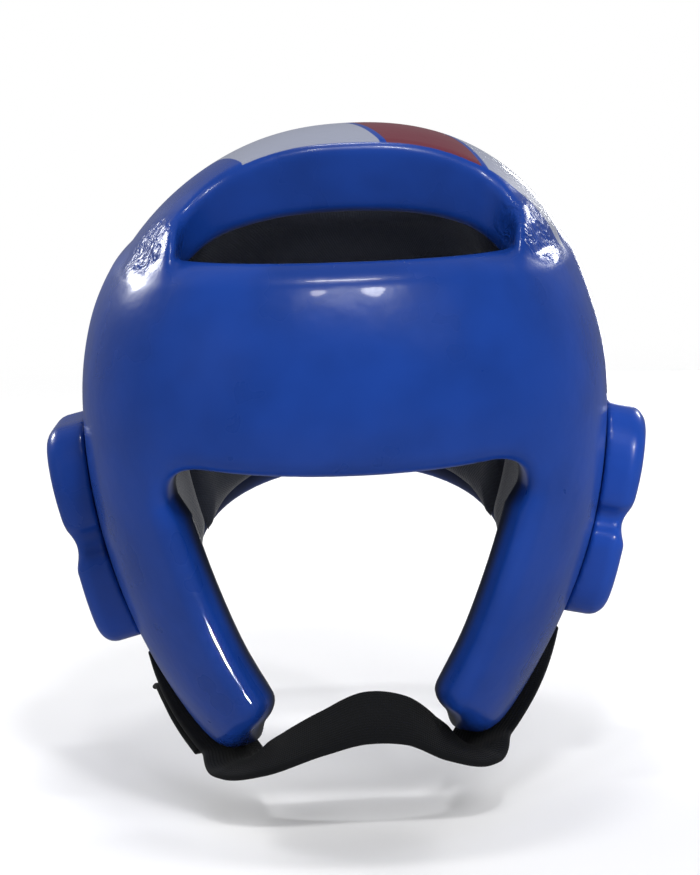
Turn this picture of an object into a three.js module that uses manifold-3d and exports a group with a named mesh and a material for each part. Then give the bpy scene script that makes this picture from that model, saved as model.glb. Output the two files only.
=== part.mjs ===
// Sparring headgear: a dipped foam shell with a front slot, a rear slot, a face opening and two cheek arms,
// two thick ear guards, three inner lining pads, and an elastic chin strap with a hook-and-loop tab.
// Units are millimetres, +Z is up and the wearer looks along -Y, so the wearer's left side is +X.
// Levels are heights above the brow edge. The finished group is lowered so that its origin is the head
// seat, the point under the crown where the top of a head touches.

import * as THREE from "three";
import { mergeVertices } from "three/addons/utils/BufferGeometryUtils.js";
import Module from "manifold-3d";

const wasm = await Module();
wasm.setup();

// Outer form of the shell
const SHELL_WIDTH = 202; // over the sides, without the ear guards
const FRONT_REACH = 118; // from the middle plane to the forehead
const BACK_REACH = 112; // from the middle plane to the back of the head
const WIDEST_LEVEL = 15;
const CROWN_RISE = 105; // from the widest level to the top of the headband's own form
const JAW_DEPTH = 115; // from the brow edge down to the cheek arm tips
const PLAN_POWER = 2.4; // 2 is an ellipse seen from above, more is squarer
const JAW_WIDTH_SHARE = 0.585; // of the full width, left at the level of the tips
const JAW_FRONT_SHARE = 0.72;
const JAW_BACK_SHARE = 0.72;
const JAW_WIDTH_POWER = 2.2; // a higher power keeps the sides full for longer
const JAW_FRONT_POWER = 1.6;
const JAW_BACK_POWER = 1.8;

// Walls and edges
const WALL = 22; // foam and skin of the headband
const HOLLOW_RISE = 79; // from the widest level to the top of the hollow for the head
const DOME_POWER = 2; // 2 is an ellipse seen from the side, more is squarer
const HOLLOW_POWER = 3;
const CROWN_STEP = 3; // the crown lies this far inside the headband's outer face
const BAND_EDGE_RADIUS = 8;
const CROWN_LEAN = 6; // the soft crown has settled this far to the wearer's left
const LEAN_START = 45; // level where the lean begins

// Headband edges
const FRONT_TOP = 71; // top edge of the forehead band
const BACK_TOP = 88; // top edge of the back panel
const LOWER_EDGE = [
  { degrees: 0, drop: 0.7 },
  { degrees: 22, drop: 0.82 },
  { degrees: 29, drop: 0.885 },
  { degrees: 38, drop: 0.97 },
  { degrees: 47, drop: 1.005 },
  { degrees: 57, drop: 0.97 },
  { degrees: 80, drop: 0.835 },
  { degrees: 108, drop: 0.67 },
  { degrees: 126, drop: 0.51 },
  { degrees: 144, drop: 0.385 },
  { degrees: 162, drop: 0.31 },
  { degrees: 180, drop: 0.287 },
]; // the edge under the arms, the ears and the nape: degrees from the front, drop is a share of JAW_DEPTH
const JAW_SAG = 3; // the soft jaw has settled this much lower on the wearer's right and higher on the left

// Face opening, seen from the front
const FACE_HALF_WIDTH = 66;
const FACE_CORNER = 14;
const BROW_BOW = 2; // the brow edge hangs this much lower in the middle
const FACE_AIM = 100; // how far behind the head's axis the line lies that the opening's walls point to
const FACE_NEAR = 0.6; // the cut's near and far ends, as shares of the way from that line to the outer face
const FACE_FAR = 2;
const FACE_SIDES = [
  { drop: 0.42, half: 0.833 },
  { drop: 0.64, half: 0.682 },
  { drop: 0.81, half: 0.53 },
  { drop: 0.92, half: 0.45 },
  { drop: 1.15, half: 0.36 },
]; // drop is a share of JAW_DEPTH, half a share of FACE_HALF_WIDTH

// Slots in front of and behind the crown bridge, seen from above
const BRIDGE_FRONT = 42; // the bridge's front edge, in front of the middle plane
const BRIDGE_BACK = 35;
const FRONT_SLOT_HALF = 61;
const REAR_SLOT_HALF = 48;
const SLOT_CORNER = 18;

// Ear guards
const GUARD_LEVEL = -37; // middle of a guard
const GUARD_BEHIND = 8; // a guard's middle lies this far behind the middle plane
const GUARD_HEIGHT = 86;
const GUARD_LENGTH = 70;
const GUARD_THICKNESS = 13; // at the edge of the outer face
const GUARD_CROWN = 1.4; // the outer face rises this much more towards its middle
const GUARD_CORNER = 24;
const GUARD_EDGE = 5;
const GUARD_NOTCH_DEPTH = 7; // the hollow in a guard's front edge
const GUARD_NOTCH_HALF = 12;
const GUARD_DISH_DEPTH = 5; // the round hollow in a guard's outer face
const GUARD_DISH_RADIUS = 20;
const EAR_HOLE_RADIUS = 10;

// Vent dimples in the back panel: a level and the angles from the middle of the back, on each side
const DIMPLE_RADIUS = 11;
const DIMPLE_FLOOR_RADIUS = 6;
const DIMPLE_DEPTH = 12;
const DIMPLE_ROWS = [
  { level: 45, degrees: [23.5, 41.5, 60.5] },
  { level: 12, degrees: [33, 53] },
  { level: -20, degrees: [42] },
];

// Lining pads
const LINING = 3;
const LINING_MARGIN = 9; // bare foam left round a pad
const SIDE_LINING_TOP = 48;
const SIDE_LINING_FRONT = 74; // in front of the middle plane
const BACK_LINING_TOP = 74;
const LINING_SEAM = 50; // the side pads meet the back pad this far behind the middle plane
const SEAM_GAP = 2;

// Chin strap
const STRAP_WIDTH = 25;
const STRAP_THICKNESS = 2.5;
const STRAP_PROUD = 5; // the strap stands this far outside the shell
const STRAP_CLEAR = 0.9; // extra room above the strap where the arms curve
const SLOPE_SHARE = 1.2; // height of a layer that lies on a slope, as a share of its thickness
const STRAP_DEGREES = [98, 90, 82, 74, 66, 58, 51]; // its stations under an arm, from the front
const TAB_DEGREES = [93, 87, 80, 72, 64, 57]; // the hook tab's stations, under the strap
const TAB_THICKNESS = 2;
const TAB_FLARE = 8; // the loose end of the tab stands off this far
const CHIN_ROUTE = [
  { side: -0.426, front: 0.5, drop: 1.026, tilt: -3 },
  { side: -0.307, front: 0.568, drop: 0.983, tilt: 12 },
  { side: -0.119, front: 0.61, drop: 0.909, tilt: 24 },
  { side: 0.05, front: 0.619, drop: 0.865, tilt: 34 },
  { side: 0.178, front: 0.61, drop: 0.883, tilt: 30 },
  { side: 0.317, front: 0.568, drop: 0.965, tilt: 16 },
  { side: 0.426, front: 0.5, drop: 1.026, tilt: -3 },
]; // the strap's middle line between the tips: side is a share of half the SHELL_WIDTH, front of FRONT_REACH
// and drop of JAW_DEPTH, and tilt is in degrees with the front edge down

const SEAT_GAP = 0.3; // between pieces that touch
const SLIVER = 0.05; // faces narrower than this are joined to their neighbours

// Fineness of the faceted surfaces
const AROUND = 56;
const CROWN_ROWS = 9;
const WALL_ROWS = 8;
const EDGE_ROWS = 3;
const ROUND_SIDES = 16;
const FACE_STEPS = 5;
const GUARD_POINTS = 60;
const STRAP_STEPS = 76;

const HALF_WIDTH = SHELL_WIDTH / 2;
const FAR = 2 * SHELL_WIDTH; // past every face of the shell
const LOWEST = -JAW_DEPTH - WALL; // below every cut
const rad = THREE.MathUtils.degToRad;
const lerp = THREE.MathUtils.lerp;

// The share of a size that is left at a level below the widest one: 1 minus a power of the drop.
function taper(level, endShare, power) {
  const drop = (WIDEST_LEVEL - level) / (WIDEST_LEVEL + JAW_DEPTH);
  return 1 - (1 - endShare) * Math.max(drop, 0) ** power;
}

// The rise of the head form from its widest level to its top, at an inset.
function riseOf(inset) {
  return lerp(CROWN_RISE, HOLLOW_RISE, Math.min(inset / WALL, 1)) - Math.max(inset - WALL, 0);
}

// Half-width, front reach and back reach of the head form at a level, moved in by an inset.
function section(level, inset) {
  const width = HALF_WIDTH - inset;
  const front = FRONT_REACH - inset;
  const back = BACK_REACH - inset;
  if (level >= WIDEST_LEVEL) {
    const height = Math.min((level - WIDEST_LEVEL) / riseOf(inset), 1);
    const power = lerp(DOME_POWER, HOLLOW_POWER, Math.min(Math.max(inset / WALL, 0), 1));
    const k = Math.max(1 - height ** power, 0) ** (1 / power);
    return { width: width * k, front: front * k, back: back * k };
  }
  return {
    width: HALF_WIDTH * taper(level, JAW_WIDTH_SHARE, JAW_WIDTH_POWER) - inset,
    front: FRONT_REACH * taper(level, JAW_FRONT_SHARE, JAW_FRONT_POWER) - inset,
    back: BACK_REACH * taper(level, JAW_BACK_SHARE, JAW_BACK_POWER) - inset,
  };
}

// The point of the head form at an angle from the front, positive towards the wearer's left.
function skinPoint(angle, level, inset) {
  const s = section(level, inset);
  const across = Math.abs(Math.sin(angle)) / Math.max(s.width, 1e-3);
  const reach = Math.cos(angle) > 0 ? s.front : s.back;
  const along = Math.abs(Math.cos(angle)) / Math.max(reach, 1e-3);
  const r = (across ** PLAN_POWER + along ** PLAN_POWER) ** (-1 / PLAN_POWER);
  return new THREE.Vector3(r * Math.sin(angle), -r * Math.cos(angle), level);
}

// The outward direction of the head form there, from its two tangents.
function skinNormal(angle, level, inset) {
  const step = 0.01;
  const p = skinPoint(angle, level, inset);
  const round = skinPoint(angle + step, level, inset).sub(p);
  const up = skinPoint(angle, level + step, inset).sub(p);
  return round.cross(up).normalize();
}

// The half-width of the head form where it crosses a front-to-back place at a level.
function halfWidthAt(y, level, inset) {
  const s = section(level, inset);
  const share = Math.abs(y) / (y < 0 ? s.front : s.back);
  return s.width * (1 - share ** PLAN_POWER) ** (1 / PLAN_POWER);
}

// A closed surface through rings of points, each with as many points, with a flat cap at either end.
function loft(rings) {
  const count = rings[0].length;
  const points = rings.flat();
  const index = [];
  for (let i = 0; i + 1 < rings.length; i++) {
    for (let j = 0; j < count; j++) {
      const a = i * count + j;
      const b = i * count + ((j + 1) % count);
      index.push(a, b, b + count, a, b + count, a + count);
    }
  }
  const middle = (ring) => ring.reduce((sum, p) => sum.add(p), new THREE.Vector3()).divideScalar(count);
  const last = (rings.length - 1) * count;
  points.push(middle(rings[0]), middle(rings[rings.length - 1]));
  for (let j = 0; j < count; j++) {
    const k = (j + 1) % count;
    index.push(points.length - 2, k, j);
    index.push(points.length - 1, last + j, last + k);
  }
  return new THREE.BufferGeometry().setFromPoints(points).setIndex(index);
}

// A geometry as a solid that booleans can join and cut.
function solid(geometry) {
  const bare = geometry.clone();
  bare.deleteAttribute("normal");
  bare.deleteAttribute("uv");
  const merged = mergeVertices(bare, 1e-4);
  const made = new wasm.Manifold(
    new wasm.Mesh({
      numProp: 3,
      vertProperties: new Float32Array(merged.attributes.position.array),
      triVerts: new Uint32Array(merged.index.array),
    }),
  );
  if (made.status() !== "NoError") throw new Error("a solid isn't closed: " + made.status());
  return made;
}

// How far the settled crown lies to the wearer's left at a level.
function leanAt(level) {
  const top = WIDEST_LEVEL + CROWN_RISE - CROWN_STEP;
  return CROWN_LEAN * THREE.MathUtils.smoothstep(level, LEAN_START, top);
}

// How much higher the settled jaw lies at a place, a fall on the wearer's right.
function sagAt(x, level) {
  return JAW_SAG * (x / HALF_WIDTH) * THREE.MathUtils.smoothstep(-level, 0, JAW_DEPTH);
}

// A solid back as a geometry, with the crown's lean and the jaw's sag put in.
function geometryOf(made) {
  const mesh = made.getMesh();
  const count = mesh.numVert;
  const place = new Float32Array(count * 3);
  for (let i = 0; i < count; i++) {
    place.set(mesh.vertProperties.subarray(i * mesh.numProp, i * mesh.numProp + 3), i * 3);
    place[i * 3 + 2] += sagAt(place[i * 3], place[i * 3 + 2]);
    place[i * 3] += leanAt(place[i * 3 + 2]);
  }
  const geometry = new THREE.BufferGeometry();
  geometry.setAttribute("position", new THREE.BufferAttribute(place, 3));
  geometry.setIndex(new THREE.BufferAttribute(mesh.triVerts, 1));
  geometry.computeVertexNormals();
  return geometry;
}

// The top edge of the headband at an angle from the front.
function bandTop(angle) {
  const behind = (1 - Math.cos(angle)) / 2;
  return lerp(FRONT_TOP, BACK_TOP, behind * behind);
}

const angles = Array.from({ length: AROUND }, (_, i) => (2 * Math.PI * i) / AROUND);

function ring(levelOf, insetOf) {
  return angles.map((angle) => skinPoint(angle, levelOf(angle), insetOf(angle)));
}

// Everything inside the headband's outer face, from below the tips to its rounded top edge.
function bandBody(inset) {
  const rings = [];
  for (let i = 0; i <= WALL_ROWS; i++) {
    const share = i / WALL_ROWS;
    rings.push(ring((a) => lerp(LOWEST, bandTop(a) - BAND_EDGE_RADIUS, share), () => inset));
  }
  for (let i = 1; i <= EDGE_ROWS; i++) {
    const turn = (Math.PI / 2) * (i / EDGE_ROWS);
    const rise = BAND_EDGE_RADIUS * (Math.sin(turn) - 1);
    const inwards = inset + BAND_EDGE_RADIUS * (1 - Math.cos(turn));
    rings.push(ring((a) => bandTop(a) + rise, () => inwards));
  }
  return solid(loft(rings));
}

// The head form above a level, moved in by an inset, closed over the top.
function dome(from, inset) {
  const rings = [];
  const rise = riseOf(inset);
  const first = Math.asin((from - WIDEST_LEVEL) / rise);
  for (let i = 0; i < CROWN_ROWS; i++) {
    const turn = lerp(first, Math.PI / 2, i / CROWN_ROWS);
    rings.push(ring(() => WIDEST_LEVEL + rise * Math.sin(turn), () => inset));
  }
  const top = WIDEST_LEVEL + rise;
  rings.push(angles.map((a) => new THREE.Vector3(0.5 * Math.sin(a), -0.5 * Math.cos(a), top)));
  return rings;
}

// The hollow for the head, as deep as the inset, open far below.
function headHollow(inset) {
  const rings = [];
  for (let i = 0; i < WALL_ROWS; i++) {
    const share = i / WALL_ROWS;
    rings.push(ring(() => lerp(LOWEST - WALL, WIDEST_LEVEL, share), () => inset));
  }
  return solid(loft([...rings, ...dome(WIDEST_LEVEL, inset)]));
}

// A prism of an outline that lies in a plane, moved to where the plane's axes point.
function prism(outline, depth, xAxis, yAxis, place) {
  const geometry = new THREE.ExtrudeGeometry(outline, { depth, bevelEnabled: false, curveSegments: 5 });
  const zAxis = xAxis.clone().cross(yAxis);
  geometry.applyMatrix4(new THREE.Matrix4().makeBasis(xAxis, yAxis, zAxis).setPosition(place));
  return solid(geometry);
}

const X = new THREE.Vector3(1, 0, 0);
const Y = new THREE.Vector3(0, 1, 0);
const Z = new THREE.Vector3(0, 0, 1);

// The level of the shell's lower edge at an angle from the front.
const lowerEdge = new THREE.CubicInterpolant(
  LOWER_EDGE.map((row) => rad(row.degrees)),
  LOWER_EDGE.map((row) => -JAW_DEPTH * row.drop),
  1,
);

function edgeLevel(angle) {
  const turned = Math.abs(Math.atan2(Math.sin(angle), Math.cos(angle)));
  return lowerEdge.evaluate(turned)[0];
}

// Everything below the nape, the sides and the tips, with a top that follows the lower edge all round.
function neckCutter(margin) {
  const at = (radius, a, level) => new THREE.Vector3(radius * Math.sin(a), -radius * Math.cos(a), level);
  const fine = Array.from({ length: 2 * AROUND }, (_, i) => (Math.PI * i) / AROUND);
  const bottom = fine.map((a) => at(FAR, a, LOWEST - WALL));
  const middle = [1.3, 1, 0.8, 0.6, 0.4].map((share) => share * HALF_WIDTH);
  const top = (radius) => fine.map((a) => at(radius, a, edgeLevel(a) + margin));
  return solid(loft([bottom, ...[FAR, ...middle, 1].map(top)]));
}

// The face opening: a bowed brow edge, rounded corners, and sides that close in downwards. Its outline lies on
// the outer face, and its walls close in backwards, towards a line behind the head, so they show from in front.
function faceCutter(margin) {
  const half = FACE_HALF_WIDTH + margin;
  const brow = margin;
  const widthOf = (row) => FACE_HALF_WIDTH * row.half + margin;
  const side = FACE_SIDES.map((row) => new THREE.Vector2(widthOf(row), -JAW_DEPTH * row.drop));
  const low = side[side.length - 1];
  const outline = new THREE.Shape();
  outline.moveTo(low.x, LOWEST - WALL);
  outline.lineTo(low.x, low.y);
  outline.splineThru([...side.slice(0, -1).reverse(), new THREE.Vector2(half, brow - FACE_CORNER)]);
  outline.quadraticCurveTo(half, brow, half - FACE_CORNER, brow);
  outline.quadraticCurveTo(0, brow - 2 * BROW_BOW, -half + FACE_CORNER, brow);
  outline.quadraticCurveTo(-half, brow, -half, brow - FACE_CORNER);
  outline.splineThru(side.map((p) => new THREE.Vector2(-p.x, p.y)));
  outline.lineTo(-low.x, LOWEST - WALL);
  const points = outline.getPoints(FACE_STEPS);
  const ringAt = (share) =>
    points.map(({ x, y: level }) => {
      const s = section(Math.max(level, -JAW_DEPTH), 0);
      const reach = s.front * (1 - (Math.abs(x) / s.width) ** PLAN_POWER) ** (1 / PLAN_POWER);
      return new THREE.Vector3(share * x, FACE_AIM - share * (FACE_AIM + reach), level);
    });
  return solid(loft([ringAt(FACE_NEAR), ringAt(FACE_FAR)]));
}

// A slot seen from above: open towards one end of the head, with two rounded corners at the bridge.
function slotCutter(half, bridge, towards, from) {
  const c = SLOT_CORNER;
  const outline = new THREE.Shape();
  outline.moveTo(-half, towards * FAR);
  outline.lineTo(-half, towards * (bridge + c));
  outline.quadraticCurveTo(-half, towards * bridge, -half + c, towards * bridge);
  outline.lineTo(half - c, towards * bridge);
  outline.quadraticCurveTo(half, towards * bridge, half, towards * (bridge + c));
  outline.lineTo(half, towards * FAR);
  return prism(outline, FAR, X, Y, new THREE.Vector3(0, 0, from));
}

// Rounds the inner top edge of the headband where a slot leaves it bare.
function edgeFlare() {
  const rings = [];
  for (let i = 0; i <= EDGE_ROWS; i++) {
    const turn = (Math.PI / 2) * (i / EDGE_ROWS);
    const rise = BAND_EDGE_RADIUS * (Math.sin(turn) - 1);
    const inset = WALL - BAND_EDGE_RADIUS * (1 - Math.cos(turn));
    rings.push(ring((a) => bandTop(a) + rise, () => inset));
  }
  rings.push(ring((a) => bandTop(a) + BAND_EDGE_RADIUS, () => WALL - BAND_EDGE_RADIUS));
  return solid(loft(rings));
}

// A solid turned about an axis that leaves a place in a direction, through rows of a radius and a height.
function turned(profile, place, direction) {
  const u = Y.clone().cross(direction).normalize();
  const v = direction.clone().cross(u);
  const rings = profile.map(({ radius, height }) =>
    Array.from({ length: ROUND_SIDES }, (_, i) => {
      const turn = (2 * Math.PI * i) / ROUND_SIDES;
      const middle = place.clone().addScaledVector(direction, height);
      return middle.addScaledVector(u, radius * Math.cos(turn)).addScaledVector(v, radius * Math.sin(turn));
    }),
  );
  return solid(loft(rings));
}

// One vent dimple: a round dent with a sloping side and a flared lip.
function dimple(angle, level) {
  const profile = [
    { radius: DIMPLE_FLOOR_RADIUS, height: -DIMPLE_DEPTH },
    { radius: lerp(DIMPLE_FLOOR_RADIUS, DIMPLE_RADIUS, 0.55), height: -DIMPLE_DEPTH / 3 },
    { radius: DIMPLE_RADIUS, height: 0.5 },
    { radius: DIMPLE_RADIUS, height: WALL },
  ];
  return turned(profile, skinPoint(angle, level, 0), skinNormal(angle, level, 0));
}

function dimples() {
  const made = [];
  for (const row of DIMPLE_ROWS) {
    for (const degrees of row.degrees) {
      for (const side of [1, -1]) {
        made.push(dimple(Math.PI - side * rad(degrees), row.level));
      }
    }
  }
  return made;
}

// The frame of a guard: its middle on the shell's face, its outward, backward and upward directions.
function guardFrame(side) {
  const level = GUARD_LEVEL;
  const x = halfWidthAt(GUARD_BEHIND, level, 0);
  const angle = Math.atan2(x, -GUARD_BEHIND);
  const out = skinNormal(angle, level, 0);
  out.y = 0;
  out.normalize();
  const up = new THREE.Vector3(-out.z, 0, out.x);
  out.x *= side;
  up.x *= side;
  return { place: new THREE.Vector3(side * x, GUARD_BEHIND, level), out, up };
}

// The level hearing hole through a guard, the shell and the lining.
function earHole(side) {
  const { place } = guardFrame(side);
  const profile = [
    { radius: EAR_HOLE_RADIUS, height: -2 * WALL },
    { radius: EAR_HOLE_RADIUS, height: 2 * WALL },
  ];
  return turned(profile, place, new THREE.Vector3(side, 0, 0));
}

// A guard's outline seen from the side: a rounded block with a hollow in its front edge.
function guardOutline() {
  const l = GUARD_LENGTH / 2;
  const h = GUARD_HEIGHT / 2;
  const c = GUARD_CORNER;
  const n = GUARD_NOTCH_HALF;
  const outline = new THREE.Shape();
  outline.moveTo(-l + c, -h);
  outline.lineTo(l - c, -h);
  outline.quadraticCurveTo(l, -h, l, -h + c);
  outline.lineTo(l, h - c);
  outline.quadraticCurveTo(l, h, l - c, h);
  outline.lineTo(-l + c, h);
  outline.quadraticCurveTo(-l, h, -l, n);
  outline.bezierCurveTo(-l, n / 2, -l + GUARD_NOTCH_DEPTH, n / 2, -l + GUARD_NOTCH_DEPTH, 0);
  outline.bezierCurveTo(-l + GUARD_NOTCH_DEPTH, -n / 2, -l, -n / 2, -l, -n);
  outline.quadraticCurveTo(-l, -h, -l + c, -h);
  return outline.getSpacedPoints(GUARD_POINTS).slice(0, GUARD_POINTS);
}

// The rows of a guard from deep inside the shell outwards: a straight side, a rounded edge and a low crown.
// An inset moves the outline in, and a share shrinks it towards the middle.
function guardRows() {
  const rows = [{ inset: 0, share: 1, height: -WALL }];
  for (let i = 0; i <= EDGE_ROWS; i++) {
    const turn = (Math.PI / 2) * (i / EDGE_ROWS);
    const inset = GUARD_EDGE * (1 - Math.cos(turn));
    rows.push({ inset, share: 1, height: GUARD_THICKNESS - GUARD_EDGE * (1 - Math.sin(turn)) });
  }
  for (const share of [0.8, 0.6, 0.4]) {
    rows.push({ inset: GUARD_EDGE, share, height: GUARD_THICKNESS + GUARD_CROWN * (1 - share ** 2) });
  }
  return rows;
}

function earGuard(side) {
  const { place, out, up } = guardFrame(side);
  const outline = guardOutline();
  if (side < 0) outline.reverse();
  const rings = guardRows().map(({ inset, share, height }) =>
    outline.map((p) => {
      const k = share * (1 - inset / p.length());
      const middle = place.clone().addScaledVector(out, height);
      return middle.addScaledVector(Y, k * p.x).addScaledVector(up, k * p.y);
    }),
  );
  const dish = [
    { radius: GUARD_DISH_RADIUS - GUARD_DISH_DEPTH, height: GUARD_THICKNESS - GUARD_DISH_DEPTH },
    { radius: GUARD_DISH_RADIUS, height: GUARD_THICKNESS + GUARD_CROWN },
    { radius: GUARD_DISH_RADIUS, height: GUARD_THICKNESS + WALL },
  ];
  return solid(loft(rings))
    .subtract(bandBody(-SEAT_GAP))
    .subtract(turned(dish, place, out))
    .subtract(earHole(side));
}

function foamShell() {
  const frontSlot = slotCutter(FRONT_SLOT_HALF, BRIDGE_FRONT, -1, 0);
  const rearSlot = slotCutter(REAR_SLOT_HALF, BRIDGE_BACK, 1, 0);
  const slots = frontSlot.add(rearSlot);
  const crown = solid(loft(dome(LEAN_START, CROWN_STEP))).subtract(slots);
  let shell = bandBody(0).add(crown).subtract(headHollow(WALL));
  shell = shell.subtract(edgeFlare().intersect(slots));
  shell = shell.subtract(faceCutter(0)).subtract(neckCutter(0));
  for (const cutter of [...dimples(), earHole(1), earHole(-1)]) shell = shell.subtract(cutter);
  return shell;
}

// A block of space, from its lowest to its highest corner.
function block(low, high) {
  const size = high.clone().sub(low);
  const middle = high.clone().add(low).divideScalar(2);
  return solid(new THREE.BoxGeometry(size.x, size.y, size.z).translate(middle.x, middle.y, middle.z));
}

// The layer of lining that lies against the foam, clear of its edges.
function liningLayer() {
  return headHollow(WALL + SEAT_GAP)
    .subtract(headHollow(WALL + SEAT_GAP + LINING))
    .subtract(faceCutter(LINING_MARGIN))
    .subtract(neckCutter(LINING_MARGIN));
}

function sideLining(side) {
  const x = side * FAR;
  const low = new THREE.Vector3(Math.min(x, 0), -SIDE_LINING_FRONT, LOWEST);
  const high = new THREE.Vector3(Math.max(x, 0), LINING_SEAM - SEAM_GAP / 2, SIDE_LINING_TOP);
  const front = new THREE.Vector3(Math.max(x, 0), -SIDE_LINING_FRONT, 0);
  const arm = block(new THREE.Vector3(Math.min(x, 0), -FAR, LOWEST), front);
  return liningLayer().intersect(block(low, high).add(arm)).subtract(earHole(side));
}

function backLining() {
  const low = new THREE.Vector3(-FAR, LINING_SEAM + SEAM_GAP / 2, LOWEST);
  return liningLayer().intersect(block(low, new THREE.Vector3(FAR, FAR, BACK_LINING_TOP)));
}

// A place under the lower edge of the shell: straight below the edge there, and as deep as a gap.
function underEdge(angle, depth) {
  const out = new THREE.Vector3(Math.sin(angle), -Math.cos(angle), 0);
  const middle = skinPoint(angle, edgeLevel(angle), 0).addScaledVector(out, STRAP_PROUD - STRAP_WIDTH / 2);
  middle.z -= depth;
  return { middle, across: out };
}

// A flat band of webbing: a rectangle carried through stations, each with a middle and a width direction.
function webbing(stations, thickness, steps) {
  const line = new THREE.CatmullRomCurve3(stations.map((s) => s.middle), false, "centripetal");
  const turn = new THREE.CatmullRomCurve3(stations.map((s) => s.across), false, "catmullrom", 0.5);
  const rings = [];
  for (let i = 0; i <= steps; i++) {
    const t = i / steps;
    const middle = line.getPoint(t);
    const ahead = line.getTangent(t);
    const across = turn.getPoint(t).addScaledVector(ahead, -turn.getPoint(t).dot(ahead)).normalize();
    const wide = across.multiplyScalar(STRAP_WIDTH / 2);
    const face = ahead.clone().cross(across).setLength(thickness / 2);
    const corner = (w, f) => middle.clone().addScaledVector(wide, w).addScaledVector(face, f);
    rings.push([corner(-1, -1), corner(1, -1), corner(1, 1), corner(-1, 1)]);
  }
  return solid(loft(rings));
}

// The strap from the wearer's right end, under both tips, to the left end. Its width direction points
// outwards under the arms and forwards between the tips.
function chinStrap() {
  const depth = SLOPE_SHARE * (SEAT_GAP + STRAP_THICKNESS / 2) + STRAP_CLEAR;
  const right = STRAP_DEGREES.map((degrees) => underEdge(-rad(degrees), depth));
  const left = STRAP_DEGREES.map((degrees) => underEdge(rad(degrees), depth)).reverse();
  const chin = CHIN_ROUTE.map((row) => ({
    middle: new THREE.Vector3(HALF_WIDTH * row.side, -FRONT_REACH * row.front, -JAW_DEPTH * row.drop),
    across: new THREE.Vector3(0, -Math.cos(rad(row.tilt)), -Math.sin(rad(row.tilt))),
  }));
  return webbing([...right, ...chin, ...left], STRAP_THICKNESS, STRAP_STEPS);
}

// The loose hook tab under the wearer's right arm, against the strap except at its outer end.
function strapTab() {
  const depth = SLOPE_SHARE * (2 * SEAT_GAP + STRAP_THICKNESS + TAB_THICKNESS / 2) + 2 * STRAP_CLEAR;
  const stations = TAB_DEGREES.map((degrees, i) => {
    const flare = TAB_FLARE * Math.max(1 - i / 2, 0) ** 2;
    return underEdge(-rad(degrees), depth + flare);
  });
  return webbing(stations, TAB_THICKNESS, TAB_DEGREES.length * 2);
}

const foam = { color: 0x1c3f94, roughness: 0.28, metalness: 0 };
const cloth = { color: 0x34363a, roughness: 0.9, metalness: 0 };
const elastic = { color: 0x101112, roughness: 0.85, metalness: 0 };

// A named piece, with the slivers that cuts leave on its faces smoothed away.
function piece(name, made, finish) {
  const mesh = new THREE.Mesh(geometryOf(made.simplify(SLIVER)), new THREE.MeshStandardMaterial(finish));
  mesh.name = name;
  return mesh;
}

const headgear = new THREE.Group();
headgear.add(
  piece("foam_shell", foamShell(), foam),
  piece("ear_guard_left", earGuard(1), foam),
  piece("ear_guard_right", earGuard(-1), foam),
  piece("lining_left", sideLining(1), cloth),
  piece("lining_right", sideLining(-1), cloth),
  piece("lining_back", backLining(), cloth),
  piece("chin_strap", chinStrap(), elastic),
  piece("strap_tab", strapTab(), elastic),
);
headgear.position.z = -(WIDEST_LEVEL + HOLLOW_RISE);

const root = new THREE.Group();
root.add(headgear);
export default root;
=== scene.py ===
# Sparring headgear: the looks of its foam shell, ear guards, lining pads and chin strap, and the stage.
# The forms are worked out in millimetres above the brow edge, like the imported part's, and are then
# lowered to its origin.

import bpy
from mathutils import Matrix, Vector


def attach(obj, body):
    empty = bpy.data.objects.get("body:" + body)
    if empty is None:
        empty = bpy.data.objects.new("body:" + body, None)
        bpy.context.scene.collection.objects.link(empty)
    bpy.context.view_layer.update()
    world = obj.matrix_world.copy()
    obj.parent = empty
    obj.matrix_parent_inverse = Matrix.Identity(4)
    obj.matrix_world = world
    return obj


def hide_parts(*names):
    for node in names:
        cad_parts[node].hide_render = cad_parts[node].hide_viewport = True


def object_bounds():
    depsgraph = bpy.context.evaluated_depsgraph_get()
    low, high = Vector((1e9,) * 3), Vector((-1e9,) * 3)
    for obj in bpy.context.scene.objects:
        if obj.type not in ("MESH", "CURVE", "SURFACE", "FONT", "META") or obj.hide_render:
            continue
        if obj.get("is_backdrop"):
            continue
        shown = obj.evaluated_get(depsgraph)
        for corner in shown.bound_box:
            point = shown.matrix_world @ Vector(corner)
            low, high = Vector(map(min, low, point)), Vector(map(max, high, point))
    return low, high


bl_info = {
    "name": "Sparring Headgear",
    "version": (1, 0, 0),
    "blender": (4, 5, 0),
    "location": "View3D > Sidebar > Headgear",
    "description": "Builds the dipped foam headgear's visible pieces over its packed part",
    "category": "Object",
}

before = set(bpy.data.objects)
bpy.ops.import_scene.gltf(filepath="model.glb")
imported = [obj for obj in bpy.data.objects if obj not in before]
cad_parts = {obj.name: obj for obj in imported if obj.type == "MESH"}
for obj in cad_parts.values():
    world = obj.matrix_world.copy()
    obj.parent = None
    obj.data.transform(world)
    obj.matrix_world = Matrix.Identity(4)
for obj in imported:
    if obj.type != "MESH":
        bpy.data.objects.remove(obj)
cad_low, cad_high = (list(corner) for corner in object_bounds())

import math

import bpy
import numpy as np
from mathutils import Quaternion, Vector

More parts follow.
